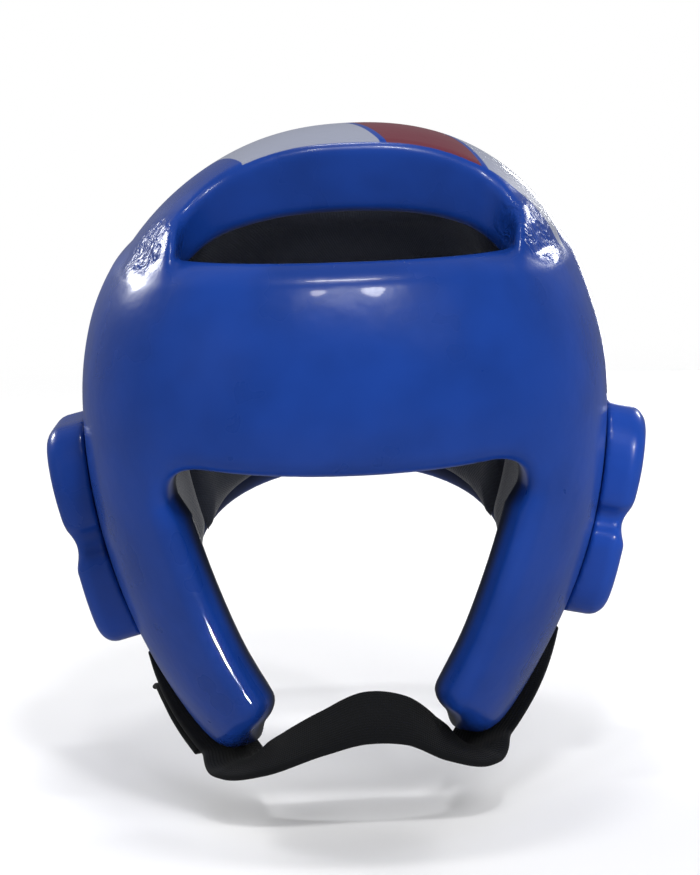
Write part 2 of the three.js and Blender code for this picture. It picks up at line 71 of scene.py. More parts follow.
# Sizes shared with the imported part, in millimetres
HALF_WIDTH = 101.0
FRONT_REACH = 118.0
BACK_REACH = 112.0
WIDEST_LEVEL = 15.0
CROWN_RISE = 105.0
HOLLOW_RISE = 79.0
DOME_POWER = 2.0
HOLLOW_POWER = 3.0
JAW_DEPTH = 115.0
PLAN_POWER = 2.4
JAW_WIDTH = (0.585, 2.2)
JAW_FRONT = (0.72, 1.6)
JAW_BACK = (0.72, 1.8)
WALL = 22.0
CROWN_STEP = 3.0
CROWN_LEAN = 6.0
LEAN_START = 45.0
JAW_SAG = 3.0
FRONT_TOP = 71.0
BACK_TOP = 88.0
LOWER_EDGE = np.array(
    [(0, 0.7), (22, 0.82), (29, 0.885), (38, 0.97), (47, 1.005), (57, 0.97)]
    + [(80, 0.835), (108, 0.67), (126, 0.51), (144, 0.385), (162, 0.31), (180, 0.287)]
)  # degrees from the front, and the drop as a share of the jaw's depth
FACE_HALF_WIDTH = 66.0
FACE_CORNER = 14.0
BROW_BOW = 2.0
FACE_TAPER = 0.4
FACE_SIDES = np.array([(0.42, 0.833), (0.64, 0.682), (0.81, 0.53), (0.92, 0.45), (1.15, 0.36)])
BRIDGE_FRONT = 42.0
BRIDGE_BACK = 35.0
FRONT_SLOT_HALF = 61.0
REAR_SLOT_HALF = 48.0
SLOT_CORNER = 18.0
DIMPLES = [(45, 23.5), (45, 41.5), (45, 60.5), (12, 33), (12, 53), (-20, 42)]  # level, degrees from behind
GUARD_LEVEL = -37.0
GUARD_BEHIND = 8.0
GUARD_HEIGHT = 86.0
GUARD_LENGTH = 70.0
GUARD_THICKNESS = 13.0
EAR_HOLE_RADIUS = 10.0
STRAP_WIDTH = 25.0
STRAP_THICKNESS = 2.5
STRAP_PROUD = 5.0
STRAP_DEGREES = (98, 90, 82, 74, 66, 58, 51)
TAB_DEGREES = (93, 87, 80, 72, 64, 57)
TAB_THICKNESS = 2.0
TAB_FLARE = 8.0
CHIN_ROUTE = [
    (-43, -59, -118, -3),
    (-31, -67, -113, 12),
    (-12, -72, -104.5, 24),
    (5, -73, -99.5, 34),
    (18, -72, -101.5, 30),
    (32, -67, -111, 16),
    (43, -59, -118, -3),
]  # the strap's middle line between the tips, with its tilt in degrees
LIFT = WIDEST_LEVEL + HOLLOW_RISE  # from the brow edge up to the origin
SEAT_GAP = 0.3

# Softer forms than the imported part's, in millimetres
BAND_TOP_ROUND = 8.0
WIDE_ROUND = 7.0  # the rims of the hollow, the face opening and the jaw
CROWN_ROUND = 3.5
SLOT_ROUND = 4.0
JOIN_ROUND = 2.2  # between the crown and the headband
DIMPLE_ROUND = 3.6
EAR_ROUND = 3.0
CROWN_FOOT = 50.0  # level at which the crown's own form ends, inside the headband
FACE_END = 10.0  # the face opening ends this far in front of the middle
TAPER_LEVELS = 20.0  # below the brow, over which the opening's taper sets in
EDGE_SLOPE = 0.93  # share of a level difference that is a distance, at the slanting lower edge
LIP_DEPTH = 7.5
LIP_RUN = 17.0
LIP_HALF = 62.0
BAND_WAVES = (5, 8, 120, 55)  # seed, count, longest and shortest wave
CROWN_WAVES = (7, 8, 100, 45)
GUARD_WAVES = (11, 6, 60, 30)
BAND_WAVE, CROWN_WAVE, GUARD_WAVE = 0.35, 0.4, 0.25
BAND_FOLD, CROWN_FOLD = 0.7, 1.3
CREASE_PLACE = (72.0, -54.0, 77.0)
CREASE_REACH = (15.0, 20.0, 12.0)
CREASE_WAY = (0.75, -0.3, 0.35)  # the direction that crosses the creases
DIMPLE_RADIUS = 8.6
DIMPLE_LENGTH = 14.5
DIMPLE_RAISE = 1.0
FAR = 30.0  # past this, a small cut's distance isn't worked out
GUARD_CORNER = 22.0
NOTCH_HALF = 12.0
NOTCH_DEPTH = 4.5
GUARD_ROUND = 6.5
GROOVE_RADIUS = 7.3
GROOVE_OFF = 5.5  # from the guard's face out to the groove's middle line
GROOVE_END = 14.0
DISH_RADIUS = 14.5
DISH_DEPTH = 6.0
DISH_OFF = 2.0
DISH_ROUND = 3.0
EAR_RIM_ROUND = 2.5
SEAT_ROUND = 1.2
SHELL_BOX = ((-107, -124, -122), (107, 118, 124))
GUARD_BOX = ((74, -30, -86), (122, 46, 12))  # the wearer's left one
BATCH = 400000  # points whose distances are worked out at once

# Lining pads, in millimetres
PAD_MARGIN = 8.0
PAD_EDGE = 9.0  # width of a pad's rounded border
PAD_BACK, PAD_FACE = 0.2, 0.25  # clear of the foam, at the pad's back and at its border
SIDE_PAD_FRONT = 74.0
SIDE_PAD_TOP = 48.0
SIDE_PAD_BEHIND = 49.0
BACK_PAD_BEHIND = 51.5
BACK_PAD_TOP = 81.0
LOWEST_EDGE = 0.93  # share of the jaw's depth down to a side pad's lowest row
ROW_BLEND = 6  # rows to each side that even out a side pad's borders

# The print, the painted shade inside the hollow and the crinkled gloss of the shell, in millimetres
PRINT_BLUR = 0.5
PRINT_FRONT, PRINT_BACK = -40.3, 16.0
PRINT_SLANT = 0.3
PALE_STRIPES = ((-47.0, 4.0), (44.0, 72.0))
RED_STRIPE = (6.5, 41.5)
HOLLOW_SHADE_DEPTHS = (9.0, 16.0)  # below the outer skin, over which the painted shade of the hollow sets in
CRINKLE_PLACE = (72.0, -54.0, 78.0)

# The stage, in metres, watts and degrees
FLOOR_REACH = 1.5  # from the middle to each side
FLOOR_LINES = 25
FLOOR_DROP = 0.02
FLOOR_FADE = (0.3, 0.95)  # shares of the reach over which the floor fades out
WORLD_GLOW = 0.2  # the white surroundings as a light, against 1 as the camera sees them
MIDDLE, ARM, EAR = (0, 0, -0.1), (-0.08, -0.09, -0.21), (0.11, -0.02, -0.12)
SOFT_LIGHTS = [  # name, place, size across and up, power
    ("key", (0.8, -1.3, 1.1), (1.0, 1.0), 15.5),
    ("fill", (-1.5, -1.1, 0.5), (1.4, 1.4), 5),
    ("back_left", (-1.3, 1.2, 0.9), (1.0, 1.0), 12),
    ("back_right", (1.3, 1.2, 0.9), (1.0, 1.0), 12),
]
HIGHLIGHTS = [  # name, place, target, size across and up, power, spread
    ("overhead", (0.0, -0.15, 1.3), MIDDLE, (0.3, 0.1), 4, 180),
    ("front_strip", (0.15, -0.82, 1.0), MIDDLE, (0.15, 0.2), 5, 180),
    ("front_spot", (-0.11, -0.82, 1.0), MIDDLE, (0.09, 0.12), 1.4, 180),
    ("spark_left", (-0.9, 0.84, 0.5), MIDDLE, (0.4, 0.18), 6, 180),
    ("spark_right", (0.78, 0.98, 0.42), MIDDLE, (0.3, 0.12), 3, 180),
    ("low_card", (0.35, -0.8, -0.47), ARM, (0.09, 0.13), 1.6, 10),
    ("ear_card", (0.68, -0.59, 0.22), EAR, (0.1, 0.04), 0.017, 10),
    ("rim_card", (0.3, 1.15, -0.05), MIDDLE, (0.08, 0.4), 1.5, 180),
]
CAMERA_AIM = (0.0015, 0, -0.1)
CAMERA_AWAY = 1.0
CAMERA_LIFT = 9.0
CAMERA_ROLL = 2.0
LENS, SENSOR = 105, 36  # millimetres


# The head form


def smooth_table(places, values):
    """A smooth curve through a table's rows, each slope the mean of its neighbours', as a dense table."""
    slopes = np.gradient(values, places)
    dense = np.linspace(places[0], places[-1], 1500)
    i = np.clip(np.searchsorted(places, dense) - 1, 0, len(places) - 2)
    h = places[i + 1] - places[i]
    t = (dense - places[i]) / h
    t2, t3 = t * t, t * t * t
    curve = (
        (2 * t3 - 3 * t2 + 1) * values[i]
        + (t3 - 2 * t2 + t) * h * slopes[i]
        + (3 * t2 - 2 * t3) * values[i + 1]
        + (t3 - t2) * h * slopes[i + 1]
    )
    return dense, curve


EDGE_TABLE = smooth_table(np.radians(LOWER_EDGE[:, 0]), -JAW_DEPTH * LOWER_EDGE[:, 1])


def edge_level(angle):
    """Level of the lower edge at an angle from the front, 0 to pi."""
    return np.interp(angle, *EDGE_TABLE)


def band_top(angle):
    """Level of the headband's top edge: it rises by the fourth power of the sine of half the angle."""
    behind = (1 - np.cos(angle)) / 2
    return FRONT_TOP + (BACK_TOP - FRONT_TOP) * behind * behind


def sizes(z, y, inset):
    """Half-width and reach of the form at levels z, moved in by inset, and their changes with level.

    Each shrinks from its full size by a power of the share of the way down to the jaw."""
    drop = np.clip((WIDEST_LEVEL - z) / (WIDEST_LEVEL + JAW_DEPTH), 1e-9, None)
    front = y < 0
    reach = np.where(front, FRONT_REACH, BACK_REACH)
    share = np.where(front, JAW_FRONT[0], JAW_BACK[0])
    power = np.where(front, JAW_FRONT[1], JAW_BACK[1])
    span = WIDEST_LEVEL + JAW_DEPTH
    w = HALF_WIDTH * (1 - (1 - JAW_WIDTH[0]) * drop ** JAW_WIDTH[1]) - inset
    dw = HALF_WIDTH * (1 - JAW_WIDTH[0]) * JAW_WIDTH[1] * drop ** (JAW_WIDTH[1] - 1) / span
    l = reach * (1 - (1 - share) * drop**power) - inset
    dl = reach * (1 - share) * power * drop ** (power - 1) / span
    return np.maximum(w, 4), dw, np.maximum(l, 4), dl


def rise_and_power(inset):
    """The dome's height and power at an inset: between the outer form's and the hollow's in even steps."""
    share = min(inset / WALL, 1)
    rise = CROWN_RISE + (HOLLOW_RISE - CROWN_RISE) * share - max(inset - WALL, 0)
    return rise, DOME_POWER + (HOLLOW_POWER - DOME_POWER) * share


def form_distance(p, inset):
    """About the distance of points p outside the head form: its level-set value less 1, over its own slope.

    Seen from above the form is a superellipse. Above the widest level it closes in a dome, and
    below it tapers."""
    x, y, z = np.abs(p[:, 0]), p[:, 1], p[:, 2]
    w, dw, l, dl = sizes(z, y, inset)
    rise, q = rise_and_power(inset)
    a, b = x / w, np.abs(y) / l
    ap, bp = a**PLAN_POWER, b**PLAN_POWER
    plan = np.maximum((ap + bp) ** (1 / PLAN_POWER), 1e-4)
    h = np.clip((z - WIDEST_LEVEL) / rise, 1e-9, None)
    value = (plan**q + h**q) ** (1 / q)
    k = plan ** (1 - PLAN_POWER)
    outer = (plan / value) ** (q - 1)
    gx = a ** (PLAN_POWER - 1) / w * k * outer
    gy = b ** (PLAN_POWER - 1) / l * k * outer
    gz = (h / value) ** (q - 1) / rise - (ap * dw / w + bp * dl / l) * k
    return (value - 1) / np.maximum(np.sqrt(gx * gx + gy * gy + gz * gz), 0.008)


def skin_point(angle, level, inset=0.0):
    """The form's point at an angle from the front, positive to the wearer's left, and a level."""
    angle, level = np.asarray(angle, float), np.asarray(level, float)
    w, _, l, _ = sizes(level, -np.cos(angle), inset)
    rise, q = rise_and_power(inset)
    h = np.clip((level - WIDEST_LEVEL) / rise, 0, 1)
    k = np.clip(1 - h**q, 0, 1) ** (1 / q)
    across, along = np.abs(np.sin(angle)) / (w * k), np.abs(np.cos(angle)) / (l * k)
    r = (across**PLAN_POWER + along**PLAN_POWER) ** (-1 / PLAN_POWER)
    return np.stack([r * np.sin(angle), -r * np.cos(angle), level + 0 * r], -1)


def skin_normal(angle, level, inset=0.0):
    """The form's outward direction there, across its two tangents."""
    step = 0.01
    p = skin_point(angle, level, inset)
    n = np.cross(skin_point(angle + step, level, inset) - p, skin_point(angle, level + step, inset) - p)
    return n / np.linalg.norm(n, axis=-1, keepdims=True)


# Joining and cutting distances


def both(a, b, r):
    """Inside a and inside b, with the edge between them rounded to the radius r."""
    bend = np.sqrt(np.maximum(a + r, 0) ** 2 + np.maximum(b + r, 0) ** 2)
    return np.minimum(np.maximum(a, b), -r) + bend


def either(a, b, r):
    """Inside a or inside b, with the corner between them filled to the radius r."""
    return -both(-a, -b, r)


def outline_table(outline):
    """Distance outside a closed outline in the plane, tabled each millimetre.

    It is the distance to the nearest edge, and its sign comes from counting crossed edges."""
    a = outline
    b = np.roll(outline, -1, 0)
    low, high = outline.min(0) - 40, outline.max(0) + 40
    xs, ys = np.arange(low[0], high[0] + 1), np.arange(low[1], high[1] + 1)
    gx, gy = (g.reshape(-1, 1) for g in np.meshgrid(xs, ys, indexing="ij"))
    ex, ey = (b - a).T
    px, py = gx - a[:, 0], gy - a[:, 1]
    t = np.clip((px * ex + py * ey) / (ex * ex + ey * ey + 1e-12), 0, 1)
    near = np.sqrt(((px - t * ex) ** 2 + (py - t * ey) ** 2).min(1))
    crosses = (a[:, 1] > gy) != (b[:, 1] > gy)
    left = gx < a[:, 0] + (gy - a[:, 1]) * ex / np.where(ey == 0, 1e-12, ey)
    inside = (crosses & left).sum(1) % 2 == 1
    return xs, ys, np.where(inside, -near, near).reshape(len(xs), len(ys))


def look_up(table, x, y):
    """A tabled distance at points, in straight lines between its grid's four nearest values."""
    xs, ys, values = table
    fx = np.clip(x - xs[0], 0, len(xs) - 1.001)
    fy = np.clip(y - ys[0], 0, len(ys) - 1.001)
    i, j = fx.astype(int), fy.astype(int)
    u, v = fx - i, fy - j
    low = values[i, j] * (1 - u) + values[i + 1, j] * u
    high = values[i, j + 1] * (1 - u) + values[i + 1, j + 1] * u
    return low * (1 - v) + high * v


def bend(a, control, b, count=12):
    """Points of a quadratic curve from a to b."""
    t = np.linspace(0, 1, count)[:, None]
    return (1 - t) ** 2 * np.array(a) + 2 * t * (1 - t) * np.array(control) + t * t * np.array(b)


def face_half_width():
    """Half-width of the face opening against level, smooth through the table's rows."""
    levels = np.append(-JAW_DEPTH * FACE_SIDES[::-1, 0], -FACE_CORNER)
    halves = np.append(FACE_HALF_WIDTH * FACE_SIDES[::-1, 1], FACE_HALF_WIDTH)
    return smooth_table(levels, halves)


FACE_HALF = face_half_width()


def face_outline():
    """The opening seen from the front: a bowed brow edge, round corners, and sides that close in."""
    side = np.stack([FACE_HALF[1], FACE_HALF[0]], -1)[::25]
    c, w = FACE_CORNER, FACE_HALF_WIDTH
    corner = bend((w, -c), (w, 0), (w - c, 0))
    brow = bend((w - c, 0), (0, -2 * BROW_BOW), (c - w, 0))
    mirror = np.array([-1.0, 1.0])
    return np.concatenate([side, corner, brow[1:-1], corner[::-1] * mirror, side[::-1] * mirror])


def guard_outline():
    """A guard seen from the side, front to the left: a rounded block with a hollow in its front edge."""
    l, h = GUARD_LENGTH / 2, GUARD_HEIGHT / 2
    c, n, d = GUARD_CORNER, NOTCH_HALF, NOTCH_DEPTH
    parts = [
        bend((l - c, -h), (l, -h), (l, c - h)),
        bend((l, h - c), (l, h), (l - c, h)),
        bend((c - l, h), (-l, h), (-l, n)),
        bend((-l, n), (-l, n / 2), (d / 2 - l, n / 2.6)),
        bend((d / 2 - l, n / 2.6), (d - l, n / 5), (d - l, 0)),
        bend((d - l, 0), (d - l, -n / 5), (d / 2 - l, -n / 2.6)),
        bend((d / 2 - l, -n / 2.6), (-l, -n / 2), (-l, -n)),
        bend((-l, -n), (-l, -h), (c - l, -h)),
    ]
    return np.concatenate(parts)


FACE_TABLE = outline_table(face_outline())
GUARD_TABLE = outline_table(guard_outline())


def slot_distance(x, y, half, bridge, towards):
    """Distance outside a slot seen from above: open to one end, with two round corners at the bridge."""
    u = np.abs(x) - (half - SLOT_CORNER)
    v = (bridge + SLOT_CORNER) - towards * y
    return np.hypot(np.maximum(u, 0), np.maximum(v, 0)) + np.minimum(np.maximum(u, v), 0) - SLOT_CORNER


def ripples(p, seed, count, longest, shortest):
    """A sum of seeded sine waves in many directions, between -1 and 1."""
    rng = np.random.default_rng(seed)
    total = np.zeros(len(p))
    for _ in range(count):
        way = rng.normal(size=3)
        way /= np.linalg.norm(way)
        total += np.sin(p @ way * (2 * math.pi / rng.uniform(shortest, longest)) + rng.uniform(0, 6.28))
    return total / count


def creases(p):
    """Short folds beside the crown's legs: two sines across them, fading within a few centimetres."""
    x, y, z = p.T
    (cx, cy, cz), (rx, ry, rz) = CREASE_PLACE, CREASE_REACH
    near = np.exp(-(((np.abs(x) - cx) / rx) ** 2) - ((y - cy) / ry) ** 2 - ((z - cz) / rz) ** 2)
    run = CREASE_WAY[0] * np.abs(x) + CREASE_WAY[2] * z + CREASE_WAY[1] * y
    return near * (np.sin(run * 0.62 + 0.6 * np.sin(z * 0.21)) + 0.4 * np.sin(run * 1.15 + y * 0.1))


def dimple_cut(p):
    """Distance outside the vent dimples: round pits that narrow inwards, laid along the skin's normal."""
    nearest = np.full(len(p), FAR)
    for level, degrees in DIMPLES:
        for side in (1, -1):
            angle = math.pi - side * math.radians(degrees)
            place, way = skin_point(angle, level), skin_normal(angle, level)
            at = np.flatnonzero(((p - place) ** 2).sum(1) < FAR**2)
            q = p[at] - place
            deep = q @ way
            wide = np.linalg.norm(q - deep[:, None] * way, axis=1)
            off = np.sqrt((wide / DIMPLE_RADIUS) ** 2 + ((deep - DIMPLE_RAISE) / DIMPLE_LENGTH) ** 2)
            pit = (off - 1) * DIMPLE_RADIUS
            nearest[at] = np.minimum(nearest[at], pit)
    return nearest


def from_ear_line(p):
    """Distance from the line through both ear holes."""
    return np.hypot(p[:, 1] - GUARD_BEHIND, p[:, 2] - GUARD_LEVEL)


def ear_hole_cut(p):
    """Distance outside the ear holes: a round bore through each side."""
    return np.where(np.abs(p[:, 0]) > FAR, from_ear_line(p) - EAR_HOLE_RADIUS, FAR)


def shell_distance(p):
    """The foam shell: a headband and a crown, less the hollow, slots, face, neck, dimples and ear holes.

    It is made as the zero surface of a distance, not on one grid, because its skin runs round them all."""
    x, y, z = p.T
    angle = np.arctan2(np.abs(x), -y)
    out, hollow = form_distance(p, 0), form_distance(p, WALL)
    folds = creases(p)
    deep = np.clip(-out, 0, WALL)
    out = out - BAND_WAVE * ripples(p, *BAND_WAVES) - BAND_FOLD * folds
    band = both(both(out, z - band_top(angle), BAND_TOP_ROUND), -hollow, WIDE_ROUND)
    front = slot_distance(x, y, FRONT_SLOT_HALF, BRIDGE_FRONT, -1)
    rear = slot_distance(x, y, REAR_SLOT_HALF, BRIDGE_BACK, 1)
    crown_out = form_distance(p, CROWN_STEP) - CROWN_WAVE * ripples(p, *CROWN_WAVES) - CROWN_FOLD * folds
    lip = LIP_DEPTH * np.exp(-(((y + BRIDGE_FRONT) / LIP_RUN) ** 2) - (x / LIP_HALF) ** 6)
    crown = both(both(crown_out, -hollow - lip, CROWN_ROUND), -np.minimum(front, rear), SLOT_ROUND)
    body = either(band, np.maximum(crown, CROWN_FOOT - z), JOIN_ROUND)
    face = look_up(FACE_TABLE, x, z) + FACE_TAPER * deep * np.clip(-z / TAPER_LEVELS, 0, 1)
    body = both(body, -np.maximum(face, y + FACE_END), WIDE_ROUND)
    body = both(body, (edge_level(angle) - z) * EDGE_SLOPE, WIDE_ROUND)
    body = both(body, -dimple_cut(p), DIMPLE_ROUND)
    return both(body, -ear_hole_cut(p), EAR_ROUND)


def guard_frame(side):
    """A guard's middle on the skin, and its outward and upward directions."""
    angle = np.arctan2(np.abs(skin_at(GUARD_BEHIND, GUARD_LEVEL)), -GUARD_BEHIND)
    out = skin_normal(angle, GUARD_LEVEL)
    out[1] = 0
    out /= np.linalg.norm(out)
    place = np.array([side * skin_at(GUARD_BEHIND, GUARD_LEVEL), GUARD_BEHIND, GUARD_LEVEL])
    return place, out * (side, 1, 1), np.array([-out[2] * side, 0, out[0]])


def skin_at(y, level, inset=0.0):
    """Half-width of the form where it crosses a front-to-back place at a level."""
    w, _, l, _ = sizes(np.asarray(level, float), np.asarray(y, float), inset)
    return w * np.clip(1 - (np.abs(y) / l) ** PLAN_POWER, 0, 1) ** (1 / PLAN_POWER)


def guard_distance(side):
    """One ear guard: its outline carried outwards, rounded, dished at the ear hole, seated on the shell."""
    place, out, up = guard_frame(side)

    def distance(p):
        q = p - place
        a, b, c = q[:, 1], q @ up, q @ out
        proud = 0.6 * np.exp(-(((b - 18) / 16) ** 2)) - 0.6 * (b / (GUARD_HEIGHT / 2)) ** 2
        swell = proud + GUARD_WAVE * ripples(p, *GUARD_WAVES)
        pad = both(look_up(GUARD_TABLE, a, b), c - GUARD_THICKNESS - swell, GUARD_ROUND)
        groove = np.hypot(b + 1 - 0.05 * a, (c - GUARD_THICKNESS - GROOVE_OFF)) - GROOVE_RADIUS
        groove = np.maximum(groove, a + GROOVE_END)
        pad = both(pad, -groove, DISH_ROUND)
        hole = from_ear_line(p)
        dish = np.hypot(hole / DISH_RADIUS, (c - GUARD_THICKNESS - DISH_OFF) / DISH_DEPTH) - 1
        pad = both(pad, -dish * DISH_DEPTH, DISH_ROUND)
        pad = both(pad, EAR_HOLE_RADIUS - hole, EAR_RIM_ROUND)
        return both(pad, SEAT_GAP - form_distance(p, 0), SEAT_ROUND)

    return distance


# Meshing a distance


def slope_of(distance, p):
    """How a distance changes along x, y and z, from points a small step to both sides."""
    step = 0.2
    axes = np.eye(3) * step
    return np.stack([(distance(p + e) - distance(p - e)) / (2 * step) for e in axes], -1)


def net(distance, low, high, step):
    """The surface where a distance is zero, from its values on a grid of cells.

    Each crossed cell gets one corner, the mean of its edges' crossings, and each crossed edge a quad."""
    axes = [np.arange(a, b + step, step) for a, b in zip(low, high)]
    shape = tuple(len(a) for a in axes)
    grid = np.stack(np.meshgrid(*axes, indexing="ij"), -1).reshape(-1, 3)
    values = np.concatenate([distance(part) for part in np.array_split(grid, 1 + len(grid) // BATCH)])
    values = values.reshape(shape).astype(np.float32)
    inside = values < 0
    total = np.zeros(tuple(n - 1 for n in shape) + (3,), np.float32)
    hits = np.zeros(tuple(n - 1 for n in shape), np.float32)
    for axis in range(3):
        a = np.moveaxis(values, axis, 0)
        t = a[:-1] / np.where(a[:-1] == a[1:], 1, a[:-1] - a[1:])
        crossed = np.moveaxis(inside, axis, 0)
        crossed = crossed[:-1] != crossed[1:]
        t = np.moveaxis(np.where(crossed, t, 0), 0, axis)
        crossed = np.moveaxis(crossed, 0, axis)
        others = [k for k in range(3) if k != axis]
        for du in (0, 1):
            for dv in (0, 1):
                window = [slice(None)] * 3
                for k, d in zip(others, (du, dv)):
                    window[k] = slice(d, shape[k] - 1 + d)
                hit = crossed[tuple(window)]
                hits += hit
                total[..., axis] += np.where(hit, t[tuple(window)], 0)
                total[..., others[0]] += hit * du
                total[..., others[1]] += hit * dv
    active = hits > 0
    number = np.full(active.shape, -1)
    number[active] = np.arange(active.sum())
    cells = np.argwhere(active)
    corners = (cells + total[active] / hits[active][:, None]) * step + np.array([a[0] for a in axes])
    quads = []
    for axis in range(3):
        u, v = (axis + 1) % 3, (axis + 2) % 3
        a = np.moveaxis(inside, (axis, u, v), (0, 1, 2))
        n = np.moveaxis(number, (axis, u, v), (0, 1, 2))
        crossed = a[:-1, 1:-1, 1:-1] != a[1:, 1:-1, 1:-1]
        i, j, k = np.nonzero(crossed)
        ring = np.stack([n[i, j, k], n[i, j + 1, k], n[i, j + 1, k + 1], n[i, j, k + 1]], -1)
        leaving = a[:-1, 1:-1, 1:-1][i, j, k]
        quads.append(np.where(leaving[:, None], ring, ring[:, ::-1]))
    return corners, np.concatenate(quads)


def relaxed(corners, quads, distance, rounds=3):
    """Moves each corner halfway to its neighbours' mean, and back onto the surface by distance and slope."""
    a, b = quads.ravel(), np.roll(quads, -1, 1).ravel()
    n = len(corners)
    count = np.bincount(a, minlength=n) + np.bincount(b, minlength=n)
    for _ in range(rounds):
        pull = [np.bincount(a, corners[b, k], n) + np.bincount(b, corners[a, k], n) for k in range(3)]
        corners = corners + 0.5 * (np.stack(pull, -1) / count[:, None] - corners)
        for _ in range(2):
            slope = slope_of(distance, corners)
            steep = np.maximum((slope**2).sum(1), 0.05)
            corners = corners - distance(corners)[:, None] * slope / steep[:, None]
    return corners


def settled(p):
    """The soft foam's settling: the jaw sags on the wearer's right, and the crown leans to the left."""

    def step(t):
        t = np.clip(t, 0, 1)
        return t * t * (3 - 2 * t)

    q = p.copy()
    q[..., 2] = p[..., 2] + JAW_SAG * p[..., 0] / HALF_WIDTH * step(-p[..., 2] / JAW_DEPTH)
    top = WIDEST_LEVEL + CROWN_RISE - CROWN_STEP
    q[..., 0] = p[..., 0] + CROWN_LEAN * step((q[..., 2] - LEAN_START) / (top - LEAN_START))
    return q


def in_row_frame(p):
    """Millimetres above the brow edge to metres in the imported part's frame."""
    q = settled(p)
    q[..., 2] -= LIFT
    return q * 0.001


def mesh_object(name, corners, faces, uv=None):
    """A smooth mesh object at the origin from arrays of corners and faces."""
    mesh = bpy.data.meshes.new(name)
    faces = np.asarray(faces, np.int32)
    mesh.vertices.add(len(corners))
    mesh.vertices.foreach_set("co", np.asarray(corners, np.float32).ravel())
    mesh.loops.add(faces.size)
    mesh.loops.foreach_set("vertex_index", faces.ravel())
    mesh.polygons.add(len(faces))
    mesh.polygons.foreach_set("loop_start", np.arange(len(faces), dtype=np.int32) * faces.shape[1])
    mesh.polygons.foreach_set("use_smooth", np.ones(len(faces), bool))
    if uv is not None:
        layer = mesh.uv_layers.new(name="weave")
        layer.uv.foreach_set("vector", np.asarray(uv, np.float32)[faces.ravel()].ravel())
    mesh.update(calc_edges=True)
    mesh.validate()
    made = bpy.data.objects.new(name, mesh)
    bpy.context.scene.collection.objects.link(made)
    return made


def mark_depth(made, corners):
    """Keeps each corner's depth under the head form's outer skin, in millimetres, for the finish to read."""
    layer = made.data.attributes.new("depth", "FLOAT", "POINT")
    layer.data.foreach_set("value", (-form_distance(corners, 0)).astype(np.float32))


def dress(made, finish, slot, *nodes):
    """Gives a piece its material, its body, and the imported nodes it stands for."""
    made.data.materials.append(finish)
    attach(made, "root")
    if nodes:
        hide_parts(*nodes)


# Materials


class Wire:
    """A shader socket that can be added, taken away and multiplied like a number."""

    def __init__(self, tree, socket):
        self.tree, self.socket = tree, socket

    def math(self, operation, *others, clamp=False):
        settings = {"operation": operation, "use_clamp": clamp}
        return node(self.tree, "ShaderNodeMath", settings, [self, *others])

    def __add__(self, other):
        return self.math("ADD", other)

    def __sub__(self, other):
        return self.math("SUBTRACT", other)

    def __rsub__(self, other):
        return node(self.tree, "ShaderNodeMath", {"operation": "SUBTRACT"}, [other, self])

    def __mul__(self, other):
        return self.math("MULTIPLY", other)

    def __truediv__(self, other):
        return self.math("DIVIDE", other)

    def __abs__(self):
        return self.math("ABSOLUTE")

    __radd__, __rmul__ = __add__, __mul__

    def between(self, low, high):
        """0 below low, 1 above high, smooth between."""
        sockets = {"Value": self, "From Min": low, "From Max": high}
        return node(self.tree, "ShaderNodeMapRange", {"interpolation_type": "SMOOTHSTEP"}, sockets)


def fill(tree, made, pairs):
    """Gives a node's sockets their wires, numbers or colours."""
    for key, value in pairs:
        if isinstance(value, Wire):
            tree.links.new(value.socket, made.inputs[key])
        else:
            made.inputs[key].default_value = value


def node(tree, kind, settings=None, inputs=None, out=0):
    """Adds a node, makes its settings, then fills its sockets with numbers, colours or wires."""
    made = tree.nodes.new(kind)
    for key, value in (settings or {}).items():
        setattr(made, key, value)
    fill(tree, made, inputs.items() if isinstance(inputs, dict) else enumerate(inputs or []))
    return Wire(tree, made.outputs[out])


def split(tree, vector):
    """The three parts of a vector wire."""
    parts = node(tree, "ShaderNodeSeparateXYZ", {}, [vector]).socket.node
    return [Wire(tree, socket) for socket in parts.outputs]


def weave_place(tree):
    """Where a spot lies on a woven piece, across and along, in metres."""
    return split(tree, node(tree, "ShaderNodeUVMap", {"uv_map": "weave"}))[:2]


def finish_named(name):
    """A new material, its shader, and its object coordinates, plain and in millimetres above the brow."""
    made = bpy.data.materials.new(name)
    made.use_nodes = True
    tree = made.node_tree
    shader = next(n for n in tree.nodes if n.type == "BSDF_PRINCIPLED")
    place = node(tree, "ShaderNodeTexCoord", out=3)
    x, y, z = split(tree, place)
    return made, tree, shader, place, (x * 1000, y * 1000, z * 1000 + LIFT)


def feed(tree, shader, **sockets):
    """Gives the shader's sockets, named with _ for spaces, their wires or numbers."""
    fill(tree, shader, ((key.replace("_", " "), value) for key, value in sockets.items()))


def noise(tree, place, scale, detail=2.0, rough=0.5, distortion=0.0):
    sockets = {"Vector": place, "Scale": scale, "Detail": detail, "Roughness": rough}
    return node(tree, "ShaderNodeTexNoise", {}, {**sockets, "Distortion": distortion})


def mixed(tree, factor, a, b):
    """Colours a and b mixed by a factor."""
    return node(tree, "ShaderNodeMix", {"data_type": "RGBA"}, {0: factor, 6: a, 7: b}, out=2)


def bump(tree, height, distance, strength, normal=None):
    """Relief of a height in metres, laid on an earlier relief where one is given."""
    sockets = {"Height": height, "Distance": distance, "Strength": strength}
    if normal is not None:
        sockets["Normal"] = normal
    return node(tree, "ShaderNodeBump", {}, sockets)


def shade(colour, k):
    """A colour made k times as bright, with its alpha."""
    return (*(c * k for c in colour[:3]), 1)


def stripe(across, low, high):
    """1 between low and high, and 0 outside, with a little blur."""
    return across.between(low, low + PRINT_BLUR) * (1 - across.between(high, high + PRINT_BLUR))


